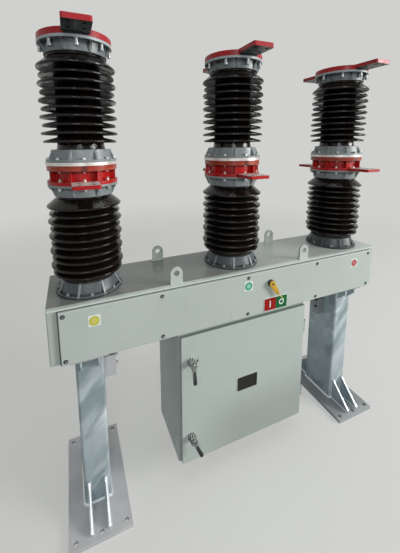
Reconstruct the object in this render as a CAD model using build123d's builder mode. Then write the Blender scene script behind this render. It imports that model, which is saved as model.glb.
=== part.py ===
from build123d import *
from math import atan2, cos, degrees, radians, sin
import os

os.makedirs("parts", exist_ok=True)
standing = (Align.CENTER, Align.CENTER, Align.MIN)

# Outdoor three-pole circuit breaker: x along the beam, front towards -y, floor at z = 0.
# All sizes are in millimetres.

# Beam box with its front cover
beam_length = 1734
beam_depth = 316
beam_height = 230
beam_bottom = 774
beam_edge_radius = 6
cover_proud = 15
cover_end_margin = 41
cover_top_margin = 13
cover_edge_radius = 3
top_lip_reach = 7
top_lip_thickness = 8

# Poles
pole_spacing = 700
flange_radius = 135
flange_ring = 10
flange_bore_radius = 100
flange_rib_count = 8
flange_rib_thickness = 9
base_skirt_height = 43
base_skirt_foot_radius = 124
base_skirt_top_radius = 110
socket_skirt_height = 37
socket_skirt_foot_radius = 118
socket_skirt_top_radius = 114
insulator_core_radius = 86
insulator_foot_radius = 92
insulator_foot_recess = 4
insulator_head_radius = 110
insulator_head_root_radius = 106
insulator_head_root_drop = 6
lower_insulator_visible = 348
upper_insulator_visible = 348
shed_count = 10
shed_pitch = 30.8
large_shed_radius = 145
small_shed_radius = 139
shed_tip = 8
shed_top_rise = 12
shed_under_rise = 3
lowest_shed_rise = 32

# Middle housing and top cap with their terminal pads
housing_height = 74
housing_ring = 13
housing_band = 21
housing_drum_radius = 108
housing_band_radius = 134
housing_rib_thickness = 9
seal_ring_height = 12
seal_ring_radius = 137
cap_height = 24
cap_radius = 134.5
cap_edge_radius = 4
pad_width = 96
cap_pad_thickness = 18
housing_pad_thickness = 14
pad_reach = 244
pad_hole_radius = 7
pad_hole_pitch = 50
pad_hole_edge = 22
pad_corner = 8
housing_pad_rise = 1

# Lifting lugs
lug_width = 56
lug_height = 76
lug_thickness = 10
lug_hole_radius = 13
lug_spacing = 706
lug_edge_distance = 13

# Mechanism cabinet
cabinet_width = 716
cabinet_depth = 290
cabinet_height = 664
cabinet_wall = 3
cabinet_lip = 22
door_width = 694
door_height = 649
door_depth = 18
door_skin = 3
door_gap = 5
door_drop = 12
window_width = 115
window_height = 76
window_corner = 10
window_height_over_door_foot = 317
window_glass = 5
window_rebate = 8

# Door hinges
hinge_spacing = 382
hinge_rise = 8
hinge_radius = 7
hinge_pin_radius = 4
hinge_half_height = 32
hinge_leaf = 4
hinge_leaf_length = 36
hinge_clearance = 0.3

# Door handles
handle_spacing = 388
handle_rise = 9
handle_edge_distance = 44
handle_barrel_radius = 17
handle_barrel_length = 30
handle_hub_radius = 16
handle_hub_height = 9
handle_lever_length = 78
handle_lever_root = 18
handle_lever_end = 13
handle_lever_thickness = 9
handle_lever_lean = 14
handle_tab_length = 34
handle_tab_width = 6
handle_tab_thickness = 4
handle_clearance = 0.3
lower_handle_swing = 25

# Position indicator
indicator_x = 127
indicator_drop = 77
indicator_boss_radius = 17
indicator_boss_height = 12
pointer_hub_radius = 15
pointer_hub_height = 8
pointer_length = 80
pointer_width = 17
pointer_tip_length = 16
pointer_thickness = 6
pointer_clearance = 0.3
pointer_rest_angle = 32
plate_width = 140
plate_height = 66
plate_thickness = 2
plate_x = 162
plate_drop = 190
plate_corner = 3

# Posts, feet and heads
post_spacing = 1448
post_width = 114
post_depth = 202
post_wall = 6
post_corner = 12
foot_width = 254
foot_length = 488
foot_thickness = 16
foot_hole_radius = 11
foot_hole_edge = 25
gusset_thickness = 10
gusset_height = 118
gusset_length = 119
gusset_spacing = 70
gusset_top = 10
head_thickness = 20
head_width = 150
head_length = 300
head_gusset_length = 44
head_gusset_height = 70
head_gusset_front_height = 26
bracket_width = 56
bracket_depth = 36
bracket_height = 103
bracket_wall = 5
bracket_drop = 105

# Levels worked out from the sizes above
beam_top = beam_bottom + beam_height
beam_front = -beam_depth / 2
cover_front = beam_front - cover_proud
base_flange_height = flange_ring + base_skirt_height
socket_flange_height = flange_ring + socket_skirt_height
lower_insulator_z = beam_top
lower_insulator_length = base_flange_height + lower_insulator_visible + socket_flange_height
housing_z = lower_insulator_z + lower_insulator_length
seal_ring_z = housing_z + housing_height
upper_insulator_z = seal_ring_z + seal_ring_height
upper_insulator_length = 2 * socket_flange_height + upper_insulator_visible
cap_z = upper_insulator_z + upper_insulator_length
cap_pad_rise = cap_height - cap_pad_thickness
pole_places = {"left": -pole_spacing, "middle": 0, "right": pole_spacing}

cabinet_front = beam_front
cabinet_top = beam_bottom
cabinet_bottom = cabinet_top - cabinet_height
door_back = cabinet_front - door_gap
door_front = door_back - door_depth
door_top = cabinet_top - door_drop
door_bottom = door_top - door_height
door_mid_z = (door_top + door_bottom) / 2
hinge_x = door_width / 2 + hinge_radius + 2
hinge_y = door_back - door_depth / 2
handle_x = -door_width / 2 + handle_edge_distance
indicator_z = beam_top - indicator_drop
post_places = (-post_spacing / 2, post_spacing / 2)
post_height = beam_bottom - head_thickness - foot_thickness


def save(piece, name):
    piece.label = name
    export_step(piece, f"parts/{name}.step")


def ribbed_flange(skirt_height, foot_radius, top_radius):
    # Ring at the bottom, tapered skirt above it, and ribs between the bolt places.
    with BuildPart() as rib:
        with BuildSketch(Plane.XZ):
            with BuildLine():
                Polyline(
                    (top_radius - 6, 0),
                    (flange_radius - 4, 0),
                    (flange_radius - 4, flange_ring + 3),
                    (top_radius + 3, flange_ring + skirt_height - 3),
                    (top_radius - 6, flange_ring + skirt_height - 3),
                    close=True,
                )
            make_face()
        extrude(amount=flange_rib_thickness / 2, both=True)
    with BuildPart() as flange:
        with BuildSketch(Plane.XZ):
            with BuildLine():
                Polyline(
                    (flange_bore_radius, 0),
                    (flange_radius, 0),
                    (flange_radius, flange_ring),
                    (foot_radius, flange_ring),
                    (top_radius, flange_ring + skirt_height),
                    (flange_bore_radius, flange_ring + skirt_height),
                    close=True,
                )
            make_face()
        revolve(axis=Axis.Z)
        with PolarLocations(0, flange_rib_count, start_angle=180 / flange_rib_count):
            add(rib.part)
    return flange.part


def insulator(length, lower_seat, upper_seat):
    # Turned body: a narrow foot, a core, sheds that alternate in size, and a steep cone up to the head.
    foot_z = lower_seat - insulator_foot_recess
    head_z = length - upper_seat
    profile = [(0, 0), (flange_bore_radius, 0), (flange_bore_radius, foot_z)]
    profile.append((insulator_foot_radius, foot_z))
    for index in range(shed_count):
        tip_radius = large_shed_radius if index % 2 else small_shed_radius
        shed_z = lower_seat + lowest_shed_rise + index * shed_pitch
        profile.append((insulator_core_radius, shed_z + shed_under_rise))
        profile.append((tip_radius, shed_z - shed_tip / 2))
        profile.append((tip_radius, shed_z + shed_tip / 2))
        if index < shed_count - 1:
            profile.append((insulator_core_radius, shed_z + shed_tip / 2 + shed_top_rise))
        else:
            profile.append((insulator_head_root_radius, head_z - insulator_head_root_drop))
    profile.append((insulator_head_radius, head_z))
    profile.append((flange_bore_radius, head_z))
    profile.append((flange_bore_radius, length))
    profile.append((0, length))
    with BuildPart() as body:
        with BuildSketch(Plane.XZ):
            with BuildLine():
                Polyline(*profile, close=True)
            make_face()
        revolve(axis=Axis.Z)
    return body.part


def terminal_pads(inner_y, thickness):
    # Two flat pads, towards the front and the rear, each drilled with four holes.
    pad_length = pad_reach - inner_y
    hole_y = pad_reach - pad_hole_edge - pad_hole_pitch / 2
    with BuildPart() as pads:
        with BuildSketch():
            with Locations((0, -inner_y - pad_length / 2), (0, inner_y + pad_length / 2)):
                RectangleRounded(pad_width, pad_length, pad_corner)
            with Locations((0, -hole_y), (0, hole_y)):
                with GridLocations(pad_hole_pitch, pad_hole_pitch, 2, 2):
                    Circle(pad_hole_radius, mode=Mode.SUBTRACT)
        extrude(amount=thickness)
    return pads.part


# Beam box: a folded closed housing whose top sheet turns down over the cover
with BuildPart() as beam_box:
    with BuildSketch(Plane.XY.offset(beam_bottom)):
        RectangleRounded(beam_length, beam_depth, beam_edge_radius)
    extrude(amount=beam_height)
    with BuildSketch(Plane.XY.offset(beam_top - top_lip_thickness)):
        with Locations((0, beam_front - top_lip_reach / 2 + beam_edge_radius / 2)):
            RectangleRounded(beam_length, top_lip_reach + beam_edge_radius, beam_edge_radius / 2)
    extrude(amount=top_lip_thickness)
save(beam_box.part, "beam_box")

# Front cover: a shallow tray over the front of the beam
cover_height = beam_height - cover_top_margin
cover_z = beam_bottom + cover_height / 2
with BuildPart() as front_cover:
    with BuildSketch(Plane.XZ.offset(-beam_front)):
        with Locations((0, cover_z)):
            Rectangle(beam_length - 2 * cover_end_margin, cover_height)
    extrude(amount=cover_proud)
    fillet(front_cover.faces().sort_by(Axis.Y)[0].edges(), cover_edge_radius)
save(front_cover.part, "front_cover")

# Lifting lugs: four drilled plates at the edges of the beam's top
lug_y = beam_depth / 2 - lug_edge_distance
with BuildPart() as lifting_lugs:
    for lug_side in (-1, 1):
        lug_back = lug_side * lug_y + lug_thickness / 2
        with BuildSketch(Plane.XZ.offset(-lug_back)):
            with GridLocations(lug_spacing, 0, 2, 1):
                with Locations((0, beam_top + (lug_height - lug_width / 2) / 2)):
                    Rectangle(lug_width, lug_height - lug_width / 2)
                with Locations((0, beam_top + lug_height - lug_width / 2)):
                    Circle(lug_width / 2)
                    Circle(lug_hole_radius, mode=Mode.SUBTRACT)
        extrude(amount=lug_thickness)
save(lifting_lugs.part, "lifting_lugs")

# Parts that every pole has, made once about the z axis
base_flange_form = ribbed_flange(base_skirt_height, base_skirt_foot_radius, base_skirt_top_radius)
socket_flange_form = ribbed_flange(socket_skirt_height, socket_skirt_foot_radius, socket_skirt_top_radius)
turned_flange_form = socket_flange_form.rotate(Axis.X, 180)
lower_insulator_form = insulator(lower_insulator_length, base_flange_height, socket_flange_height)
upper_insulator_form = insulator(upper_insulator_length, socket_flange_height, socket_flange_height)
housing_pads = terminal_pads(housing_drum_radius - 20, housing_pad_thickness)
cap_pads = terminal_pads(0, cap_pad_thickness)

with BuildPart() as housing:
    with BuildSketch(Plane.XZ):
        with BuildLine():
            Polyline(
                (0, 0),
                (flange_radius, 0),
                (flange_radius, housing_ring),
                (housing_drum_radius, housing_ring),
                (housing_drum_radius, housing_height - housing_band),
                (housing_band_radius, housing_height - housing_band),
                (housing_band_radius, housing_height),
                (0, housing_height),
                close=True,
            )
        make_face()
    revolve(axis=Axis.Z)
    rib_length = housing_band_radius - 3 - housing_drum_radius + 10
    rib_height = housing_height - housing_ring - housing_band
    with PolarLocations(housing_drum_radius - 10 + rib_length / 2, flange_rib_count, 180 / flange_rib_count):
        with Locations((0, 0, housing_ring + rib_height / 2)):
            Box(rib_length, housing_rib_thickness, rib_height)
    with Locations((0, 0, housing_pad_rise)):
        add(housing_pads)

with BuildPart() as cap:
    Cylinder(cap_radius, cap_height, align=standing)
    fillet(cap.faces().sort_by(Axis.Z)[-1].edges(), cap_edge_radius)
    with Locations((0, 0, cap_pad_rise)):
        add(cap_pads)

with BuildPart() as seal_rings:
    with Locations(Plane.XY.offset(seal_ring_z)):
        with GridLocations(pole_spacing, 0, 3, 1):
            Cylinder(seal_ring_radius, seal_ring_height, align=standing)
save(seal_rings.part, "seal_rings")

for side, pole_x in pole_places.items():
    pole_pieces = {
        "base_flange": (base_flange_form, beam_top),
        "lower_insulator": (lower_insulator_form, lower_insulator_z),
        "lower_top_flange": (turned_flange_form, housing_z),
        "middle_housing": (housing.part, housing_z),
        "upper_foot_flange": (socket_flange_form, upper_insulator_z),
        "upper_insulator": (upper_insulator_form, upper_insulator_z),
        "upper_top_flange": (turned_flange_form, cap_z),
        "top_cap": (cap.part, cap_z),
    }
    for piece_name, (form, piece_z) in pole_pieces.items():
        save(form.moved(Location((pole_x, 0, piece_z))), f"{side}_{piece_name}")

# Mechanism cabinet: a sheet shell with an open front and a return lip around it
cabinet_mid_y = cabinet_front + cabinet_depth / 2
with BuildPart() as cabinet_shell:
    with BuildSketch(Plane.XY.offset(cabinet_bottom)):
        with Locations((0, cabinet_mid_y)):
            Rectangle(cabinet_width, cabinet_depth)
    extrude(amount=cabinet_height)
    with BuildSketch(Plane.XZ.offset(-cabinet_front - cabinet_wall)):
        with Locations((0, (cabinet_top + cabinet_bottom) / 2)):
            Rectangle(cabinet_width - 2 * cabinet_wall, cabinet_height - 2 * cabinet_wall)
    extrude(amount=-(cabinet_depth - 2 * cabinet_wall), mode=Mode.SUBTRACT)
    with BuildSketch(Plane.XZ.offset(-cabinet_front)):
        with Locations((0, (cabinet_top + cabinet_bottom) / 2)):
            Rectangle(cabinet_width - 2 * cabinet_lip, cabinet_height - 2 * cabinet_lip)
    extrude(amount=-cabinet_wall, mode=Mode.SUBTRACT)
save(cabinet_shell.part, "cabinet_shell")

# Door: a tray whose four edges are folded back, with an opening for the window
window_z = door_bottom + window_height_over_door_foot
with BuildPart() as cabinet_door:
    with BuildSketch(Plane.XZ.offset(-door_back)):
        with Locations((0, door_mid_z)):
            Rectangle(door_width, door_height)
    extrude(amount=door_depth)
    with BuildSketch(Plane.XZ.offset(-door_back)):
        with Locations((0, door_mid_z)):
            Rectangle(door_width - 2 * door_skin, door_height - 2 * door_skin)
    extrude(amount=door_depth - door_skin, mode=Mode.SUBTRACT)
    with BuildSketch(Plane.XZ.offset(-door_front)):
        with Locations((0, window_z)):
            RectangleRounded(window_width, window_height, window_corner)
    extrude(amount=-door_skin, mode=Mode.SUBTRACT)
save(cabinet_door.part, "cabinet_door")

with BuildPart() as door_window:
    with BuildSketch(Plane.XZ.offset(-door_front - door_skin)):
        with Locations((0, window_z)):
            RectangleRounded(
                window_width + 2 * window_rebate,
                window_height + 2 * window_rebate,
                window_corner,
            )
    extrude(amount=-window_glass)
save(door_window.part, "door_window")

# Hinges: the lower half of each barrel and its pin are fixed, the upper half turns with the door
hinge_mid_z = door_mid_z + hinge_rise
hinge_feet = [hinge_mid_z - hinge_half_height + level * hinge_spacing / 2 for level in (-1, 1)]
with BuildPart() as fixed_hinges:
    for hinge_z in hinge_feet:
        with Locations((hinge_x, hinge_y, hinge_z)):
            Cylinder(hinge_radius, hinge_half_height, align=standing)
            Cylinder(hinge_pin_radius, 2 * hinge_half_height - 2, align=standing)
        with Locations((cabinet_width / 2, hinge_y, hinge_z)):
            leaf_length = cabinet_front - hinge_y + hinge_leaf_length
            Box(hinge_leaf, leaf_length, hinge_half_height, align=(Align.MIN, Align.MIN, Align.MIN))
save(fixed_hinges.part, "fixed_hinges")

with BuildPart() as door_hinges:
    for hinge_z in hinge_feet:
        upper_z = hinge_z + hinge_half_height + hinge_clearance
        upper_height = hinge_half_height - hinge_clearance
        with Locations((hinge_x, hinge_y, upper_z)):
            Cylinder(hinge_radius, upper_height, align=standing)
        with Locations((door_width / 2, hinge_y, upper_z)):
            reach = hinge_x - door_width / 2
            Box(reach, hinge_leaf, upper_height, align=(Align.MIN, Align.CENTER, Align.MIN))
        with Locations((hinge_x, hinge_y, upper_z)):
            bore_radius = hinge_pin_radius + hinge_clearance
            bore_depth = hinge_half_height - 1
            Cylinder(bore_radius, bore_depth, align=standing, mode=Mode.SUBTRACT)
save(door_hinges.part, "door_hinges")

# Handles: two fixed barrels on the door, and a lever that turns on the end of each
handle_mid_z = door_mid_z + handle_rise
handle_levels = {
    "lower": (handle_mid_z - handle_spacing / 2, lower_handle_swing),
    "upper": (handle_mid_z + handle_spacing / 2, 0),
}
with BuildPart() as handle_barrels:
    with BuildSketch(Plane.XZ.offset(-door_front)):
        for level_z, swing in handle_levels.values():
            with Locations((handle_x, level_z)):
                Circle(handle_barrel_radius)
    extrude(amount=handle_barrel_length)
save(handle_barrels.part, "handle_barrels")

lever_back = door_front - handle_barrel_length - handle_clearance
lean_angle = degrees(atan2(handle_lever_lean, handle_lever_length))
for level, (level_z, swing) in handle_levels.items():
    hub_plane = Plane(
        origin=(handle_x, lever_back, level_z),
        x_dir=(cos(radians(swing)), 0, sin(radians(swing))),
        z_dir=(0, -1, 0),
    )
    lever_root_plane = hub_plane.offset(handle_hub_height - handle_lever_thickness + 3)
    lean_plane = lever_root_plane.rotated((-lean_angle, 0, 0))
    with BuildPart() as lever:
        with BuildSketch(hub_plane):
            Circle(handle_hub_radius)
        extrude(amount=handle_hub_height)
        with BuildSketch(lean_plane):
            Circle(handle_lever_root / 2)
            with Locations((0, handle_lever_end / 2 - handle_lever_length)):
                Circle(handle_lever_end / 2)
            make_hull()
        extrude(amount=handle_lever_thickness)
        fillet(lever.faces().sort_by(Axis.Y)[0].edges(), 2)
        if level == "upper":
            with BuildSketch(hub_plane):
                with Locations(Location((0, 0), 45)):
                    with Locations((handle_tab_length / 2, 0)):
                        RectangleRounded(handle_tab_length, handle_tab_width, handle_tab_width / 3)
            extrude(amount=handle_tab_thickness)
    save(lever.part, f"{level}_handle")

# Position indicator: boss on the cover, pointer with a round head, and the two-field plate
with BuildPart() as indicator_boss:
    with BuildSketch(Plane.XZ.offset(-cover_front)):
        with Locations((indicator_x, indicator_z)):
            Circle(indicator_boss_radius)
    extrude(amount=indicator_boss_height)
save(indicator_boss.part, "indicator_boss")

pointer_plane = Plane(
    origin=(indicator_x, cover_front - indicator_boss_height - pointer_clearance, indicator_z),
    x_dir=(cos(radians(pointer_rest_angle)), 0, sin(radians(pointer_rest_angle))),
    z_dir=(0, -1, 0),
)
with BuildPart() as pointer:
    with BuildSketch(pointer_plane):
        Circle(pointer_hub_radius)
    extrude(amount=pointer_hub_height)
    with BuildSketch(pointer_plane):
        Circle(pointer_hub_radius)
        with Locations((0, pointer_tip_length - pointer_length)):
            Rectangle(pointer_width, 1)
        make_hull()
        tip_shoulder = pointer_tip_length - pointer_length
        Polygon(
            (-pointer_width / 2, tip_shoulder),
            (0, -pointer_length),
            (pointer_width / 2, tip_shoulder),
            align=None,
        )
    extrude(amount=pointer_thickness)
save(pointer.part, "pointer")

with BuildPart() as indicator_plate:
    with BuildSketch(Plane.XZ.offset(-cover_front)):
        with Locations((plate_x, beam_top - plate_drop)):
            RectangleRounded(plate_width, plate_height, plate_corner)
    extrude(amount=plate_thickness)
save(indicator_plate.part, "indicator_plate")

# Posts, foot plates, gussets and head plates: one node each for the pair
with BuildPart() as posts:
    with BuildSketch(Plane.XY.offset(foot_thickness)):
        with GridLocations(post_spacing, 0, 2, 1):
            RectangleRounded(post_width, post_depth, post_corner)
            RectangleRounded(
                post_width - 2 * post_wall,
                post_depth - 2 * post_wall,
                post_corner - post_wall,
                mode=Mode.SUBTRACT,
            )
    extrude(amount=post_height)
save(posts.part, "posts")

foot_hole_x = foot_width / 2 - foot_hole_edge
foot_hole_y = foot_length / 2 - foot_hole_edge
with BuildPart() as foot_plates:
    with BuildSketch():
        with GridLocations(post_spacing, 0, 2, 1):
            Rectangle(foot_width, foot_length)
        for post_x in post_places:
            with Locations((post_x, 0)):
                with GridLocations(foot_hole_x, 2 * foot_hole_y, 3, 2):
                    Circle(foot_hole_radius, mode=Mode.SUBTRACT)
    extrude(amount=foot_thickness)
save(foot_plates.part, "foot_plates")

with BuildPart() as gussets:
    for post_x in post_places:
        for gusset_side in (-1, 1):
            with BuildSketch(Plane.YZ.offset(post_x + gusset_side * gusset_spacing / 2)):
                for facing in (-1, 1):
                    post_face = facing * post_depth / 2
                    gusset_end = facing * (post_depth / 2 + gusset_length)
                    Polygon(
                        (post_face, foot_thickness),
                        (gusset_end, foot_thickness),
                        (gusset_end, foot_thickness + gusset_top),
                        (post_face + facing * gusset_top, foot_thickness + gusset_height),
                        (post_face, foot_thickness + gusset_height),
                        align=None,
                    )
            extrude(amount=gusset_thickness / 2, both=True)
save(gussets.part, "gussets")

head_bottom = beam_bottom - head_thickness
with BuildPart() as head_plates:
    with BuildSketch(Plane.XY.offset(head_bottom)):
        with GridLocations(post_spacing, 0, 2, 1):
            Rectangle(head_width, head_length)
    extrude(amount=head_thickness)
save(head_plates.part, "head_plates")

# Head gussets: the same pair as at the foot, turned over and shorter
with BuildPart() as head_gussets:
    for post_x in post_places:
        for gusset_side in (-1, 1):
            with BuildSketch(Plane.YZ.offset(post_x + gusset_side * gusset_spacing / 2)):
                for facing in (-1, 1):
                    post_face = facing * post_depth / 2
                    gusset_end = facing * (post_depth / 2 + head_gusset_length)
                    Polygon(
                        (post_face, head_bottom),
                        (gusset_end, head_bottom),
                        (gusset_end, head_bottom - head_gusset_front_height),
                        (post_face, head_bottom - head_gusset_height),
                        align=None,
                    )
            extrude(amount=gusset_thickness / 2, both=True)
save(head_gussets.part, "head_gussets")

# A short open tube on the inner side of each post
with BuildPart() as side_brackets:
    with BuildSketch(Plane.XY.offset(head_bottom - bracket_drop - bracket_height)):
        bracket_x = post_spacing / 2 - post_width / 2 - bracket_width / 2
        with GridLocations(2 * bracket_x, 0, 2, 1):
            Rectangle(bracket_width, bracket_depth)
            Rectangle(bracket_width - 2 * bracket_wall, bracket_depth - 2 * bracket_wall, mode=Mode.SUBTRACT)
    extrude(amount=bracket_height)
save(side_brackets.part, "side_brackets")
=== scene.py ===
import math

import bpy
import numpy as np
from mathutils import Matrix, Vector


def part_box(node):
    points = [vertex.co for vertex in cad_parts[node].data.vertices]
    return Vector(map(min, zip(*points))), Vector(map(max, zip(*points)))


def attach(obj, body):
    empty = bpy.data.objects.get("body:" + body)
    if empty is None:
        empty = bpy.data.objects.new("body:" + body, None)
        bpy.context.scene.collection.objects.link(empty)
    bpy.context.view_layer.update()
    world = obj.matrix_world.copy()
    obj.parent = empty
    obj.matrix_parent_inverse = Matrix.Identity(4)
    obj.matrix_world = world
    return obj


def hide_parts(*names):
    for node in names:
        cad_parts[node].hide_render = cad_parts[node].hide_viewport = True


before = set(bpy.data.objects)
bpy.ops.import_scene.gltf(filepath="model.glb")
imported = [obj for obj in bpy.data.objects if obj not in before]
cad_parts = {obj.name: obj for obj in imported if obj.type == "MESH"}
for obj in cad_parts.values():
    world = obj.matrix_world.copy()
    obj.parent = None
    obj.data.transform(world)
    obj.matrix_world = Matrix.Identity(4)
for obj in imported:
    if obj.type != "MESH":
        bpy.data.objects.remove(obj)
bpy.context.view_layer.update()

print("frame loaded:", len(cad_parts), "nodes")

scene = bpy.context.scene
mm = 0.001
polePlaces = (("left", -0.7), ("middle", 0.0), ("right", 0.7))
postPlaces = (-0.724, 0.724)

# what the pieces are set against: lowest and highest corners of CAD nodes
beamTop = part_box("beam_box")[1].z
coverLow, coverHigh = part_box("front_cover")
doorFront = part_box("cabinet_door")[0].y
housingLow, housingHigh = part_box("middle_middle_housing")
baseFlange, lowerTopFlange, upperFootFlange, upperTopFlange = (
    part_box(f"middle_{name}_flange") for name in ("base", "lower_top", "upper_foot", "upper_top"))
ringThickness = 10 * mm
housingLevels = {"ringTop": housingLow.z + 13 * mm, "bandFoot": housingHigh.z - 21 * mm}


# shapes worked out as arrays: a shape is (points, faces), a triangle's fourth corner is -1

def gridFaces(rows, columns, looped=False):
    # quads between neighbours of a rows x columns grid whose columns run round and meet
    r = np.arange(rows if looped else rows - 1)[:, None]
    c = np.arange(columns)[None, :]
    above = (r + 1) % rows
    ahead = (c + 1) % columns
    corners = (r * columns + c, r * columns + ahead, above * columns + ahead, above * columns + c)
    return np.stack([np.broadcast_to(k, (len(r), columns)) for k in corners], -1).reshape(-1, 4)


def lofted(rings, looped=False):
    # rings[i, j] is point j of closed ring i; a fan round each end ring's middle closes the form
    count, around = rings.shape[:2]
    points = rings.reshape(-1, 3)
    faces = gridFaces(count, around, looped)
    if looped:
        return points, faces
    j = np.arange(around)
    k = (j + 1) % around
    last = (count - 1) * around
    none = np.full(around, -1)
    foot = np.stack([k, j, np.full(around, len(points)), none], -1)
    top = np.stack([last + j, last + k, np.full(around, len(points) + 1), none], -1)
    middles = np.stack([rings[0].mean(0), rings[-1].mean(0)])
    return np.vstack([points, middles]), np.vstack([faces, foot, top])


def turned(rows, sides, apothem=None, looped=False):
    # rows of (radius, height) turned about z: (r cos t, r sin t, h); with an apothem the
    # radius stays inside a hexagon, r = min(radius, apothem / cos(angle from the flat's middle))
    rows = np.array(rows, float)
    angle = np.arange(sides) * 2 * math.pi / sides
    reach = np.broadcast_to(rows[:, :1], (len(rows), sides))
    if apothem:
        folded = (angle + math.pi / 6) % (math.pi / 3) - math.pi / 6
        reach = np.minimum(reach, apothem / np.cos(folded))
    height = np.broadcast_to(rows[:, 1:], reach.shape)
    return lofted(np.stack([reach * np.cos(angle), reach * np.sin(angle), height], -1), looped)


def softened(corners, steps=4):
    # (x, y, radius) corners become a line whose corners are quadratic curves:
    # p = (1-t)^2 a + 2t(1-t) b + t^2 c, a and c being radius away from the corner b
    corners = np.array(corners, float)
    t = np.linspace(0, 1, steps + 1)[:, None]
    line = [corners[:1, :2]]
    for before, here, after in zip(corners[:-2, :2], corners[1:-1], corners[2:, :2]):
        b, radius = here[:2], here[2]
        if radius <= 0:
            line.append(b[None])
            continue
        behind, ahead = np.linalg.norm(before - b), np.linalg.norm(after - b)
        arm = min(radius, 0.49 * behind, 0.49 * ahead)
        a = b + arm * (before - b) / behind
        c = b + arm * (after - b) / ahead
        line.append((1 - t) ** 2 * a + 2 * t * (1 - t) * b + t ** 2 * c)
    line.append(corners[-1:, :2])
    return np.vstack(line)


def roundedOutline(width, depth, corner, steps=5):
    # a rectangle's outline, anticlockwise, each corner a quarter circle, with its outward directions
    turn = np.linspace(0, math.pi / 2, steps + 1)[None, :] + np.arange(4)[:, None] * math.pi / 2
    outward = np.stack([np.cos(turn), np.sin(turn)], -1)
    signs = np.array([(1, 1), (-1, 1), (-1, -1), (1, -1)], float)[:, None, :]
    middle = signs * np.array([width / 2 - corner, depth / 2 - corner])
    return (middle + corner * outward).reshape(-1, 2), outward.reshape(-1, 2)


def slab(width, depth, corner, rows):
    # a rounded rectangle in rows of (inset, height): its outline less inset times the outward direction
    outline, outward = roundedOutline(width, depth, corner)
    rows = np.array(rows, float)
    flat = outline[None] - rows[:, :1, None] * outward[None]
    height = np.broadcast_to(rows[:, 1:, None], flat.shape[:2] + (1,))
    return lofted(np.concatenate([flat, height], -1))


def swept(path, ring, side, radius=1.0, looped=False):
    # a ring of (across, above) carried along a path: p + radius (across * side' + above * normal)
    path = np.array(path, float)
    ahead = np.roll(path, -1, 0) - np.roll(path, 1, 0) if looped else np.gradient(path, axis=0)
    ahead /= np.linalg.norm(ahead, axis=1)[:, None]
    side = np.array(side, float)
    across = side - ahead * (ahead @ side)[:, None]
    across /= np.linalg.norm(across, axis=1)[:, None]
    normal = np.cross(ahead, across)
    reach = np.broadcast_to(np.asarray(radius, float), (len(path),))[:, None, None]
    ring = np.array(ring, float)
    offset = ring[None, :, :1] * across[:, None] + ring[None, :, 1:] * normal[:, None]
    return lofted(path[:, None] + reach * offset, looped)


def joined(*shapes):
    # several shapes as one
    counts = np.cumsum([0] + [len(points) for points, faces in shapes])
    faces = [np.where(f >= 0, f + start, -1) for (p, f), start in zip(shapes, counts)]
    return np.vstack([points for points, faces in shapes]), np.vstack(faces)


def placed(shape, *matrices):
    # copies of a shape, one for each matrix: each point turned by its 3 x 3 part, plus its shift
    points, faces = shape
    stack = np.array([np.array(m) for m in matrices], float)
    moved = np.einsum("kab,nb->kna", stack[:, :3, :3], points) + stack[:, None, :3, 3]
    offsets = (np.arange(len(stack)) * len(points))[:, None, None]
    copies = np.where(faces[None] >= 0, faces[None] + offsets, -1)
    return moved.reshape(-1, 3), copies.reshape(-1, 4)


def inMetres(shape):
    # a shape that was worked out in millimetres
    return shape[0] * mm, shape[1]


def raised(shape, height):
    # a shape lifted by a height in millimetres
    return shape[0] + np.array([0, 0, height * mm]), shape[1]


quarterTurns = {"up": (0, "X"), "down": (2, "X"), "front": (1, "X"), "right": (1, "Y"), "left": (-1, "Y")}


def at(x, y, z, turn=0.0, face="up"):
    # a place whose local z axis points up, down, front, right or left, after a turn about that axis
    quarters, axis = quarterTurns[face]
    tilt = Matrix.Rotation(quarters * math.pi / 2, 4, axis)
    return Matrix.Translation((x, y, z)) @ tilt @ Matrix.Rotation(turn, 4, "Z")


def putMesh(name, parts, crease=40.0):
    # one object at the origin from parts, each a shape, its finish and the places of its copies, if any;
    # smooth but for edges sharper than the crease
    shapes = [placed(shape, *places) if places else shape for shape, finish, *places in parts]
    points, faces = joined(*shapes)
    sizes = (faces >= 0).sum(1)
    mesh = bpy.data.meshes.new(name)
    mesh.vertices.add(len(points))
    mesh.vertices.foreach_set("co", points.astype(np.float32).ravel())
    mesh.loops.add(int(sizes.sum()))
    mesh.loops.foreach_set("vertex_index", faces[faces >= 0].astype(np.int32))
    mesh.polygons.add(len(faces))
    mesh.polygons.foreach_set("loop_start", np.concatenate([[0], np.cumsum(sizes)[:-1]]).astype(np.int32))
    which = np.repeat(np.arange(len(parts)), [len(shapeFaces) for shapePoints, shapeFaces in shapes])
    mesh.polygons.foreach_set("material_index", which.astype(np.int32))
    for part in parts:
        mesh.materials.append(bpy.data.materials[part[1]])
    mesh.update(calc_edges=True)
    mesh.validate()
    mesh.shade_smooth()
    mesh.set_sharp_from_angle(angle=math.radians(crease))
    made = bpy.data.objects.new(name, mesh)
    scene.collection.objects.link(made)
    return made


def putPiece(name, slotName, *parts, body="breaker", stands=(), crease=40.0):
    # a piece of the object: it rides on a body and may stand for CAD nodes, which it hides; its slot name is
    # not used
    piece = putMesh(name, parts, crease)
    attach(piece, body)
    if stands:
        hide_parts(*stands)


# shader tools

def tone(red, green, blue):
    # a colour written as a screen shows it, 0 to 255
    share = np.array([red, green, blue]) / 255
    linear = np.where(share <= 0.04045, share / 12.92, ((share + 0.055) / 1.055) ** 2.4)
    return (*[float(v) for v in linear], 1.0)


def feed(tree, node, inputs):
    # gives a node its inputs; one that is another node's output is linked
    for socket, value in inputs.items():
        if isinstance(value, bpy.types.NodeSocket):
            tree.links.new(value, node.inputs[socket])
        else:
            node.inputs[socket].default_value = value


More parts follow.
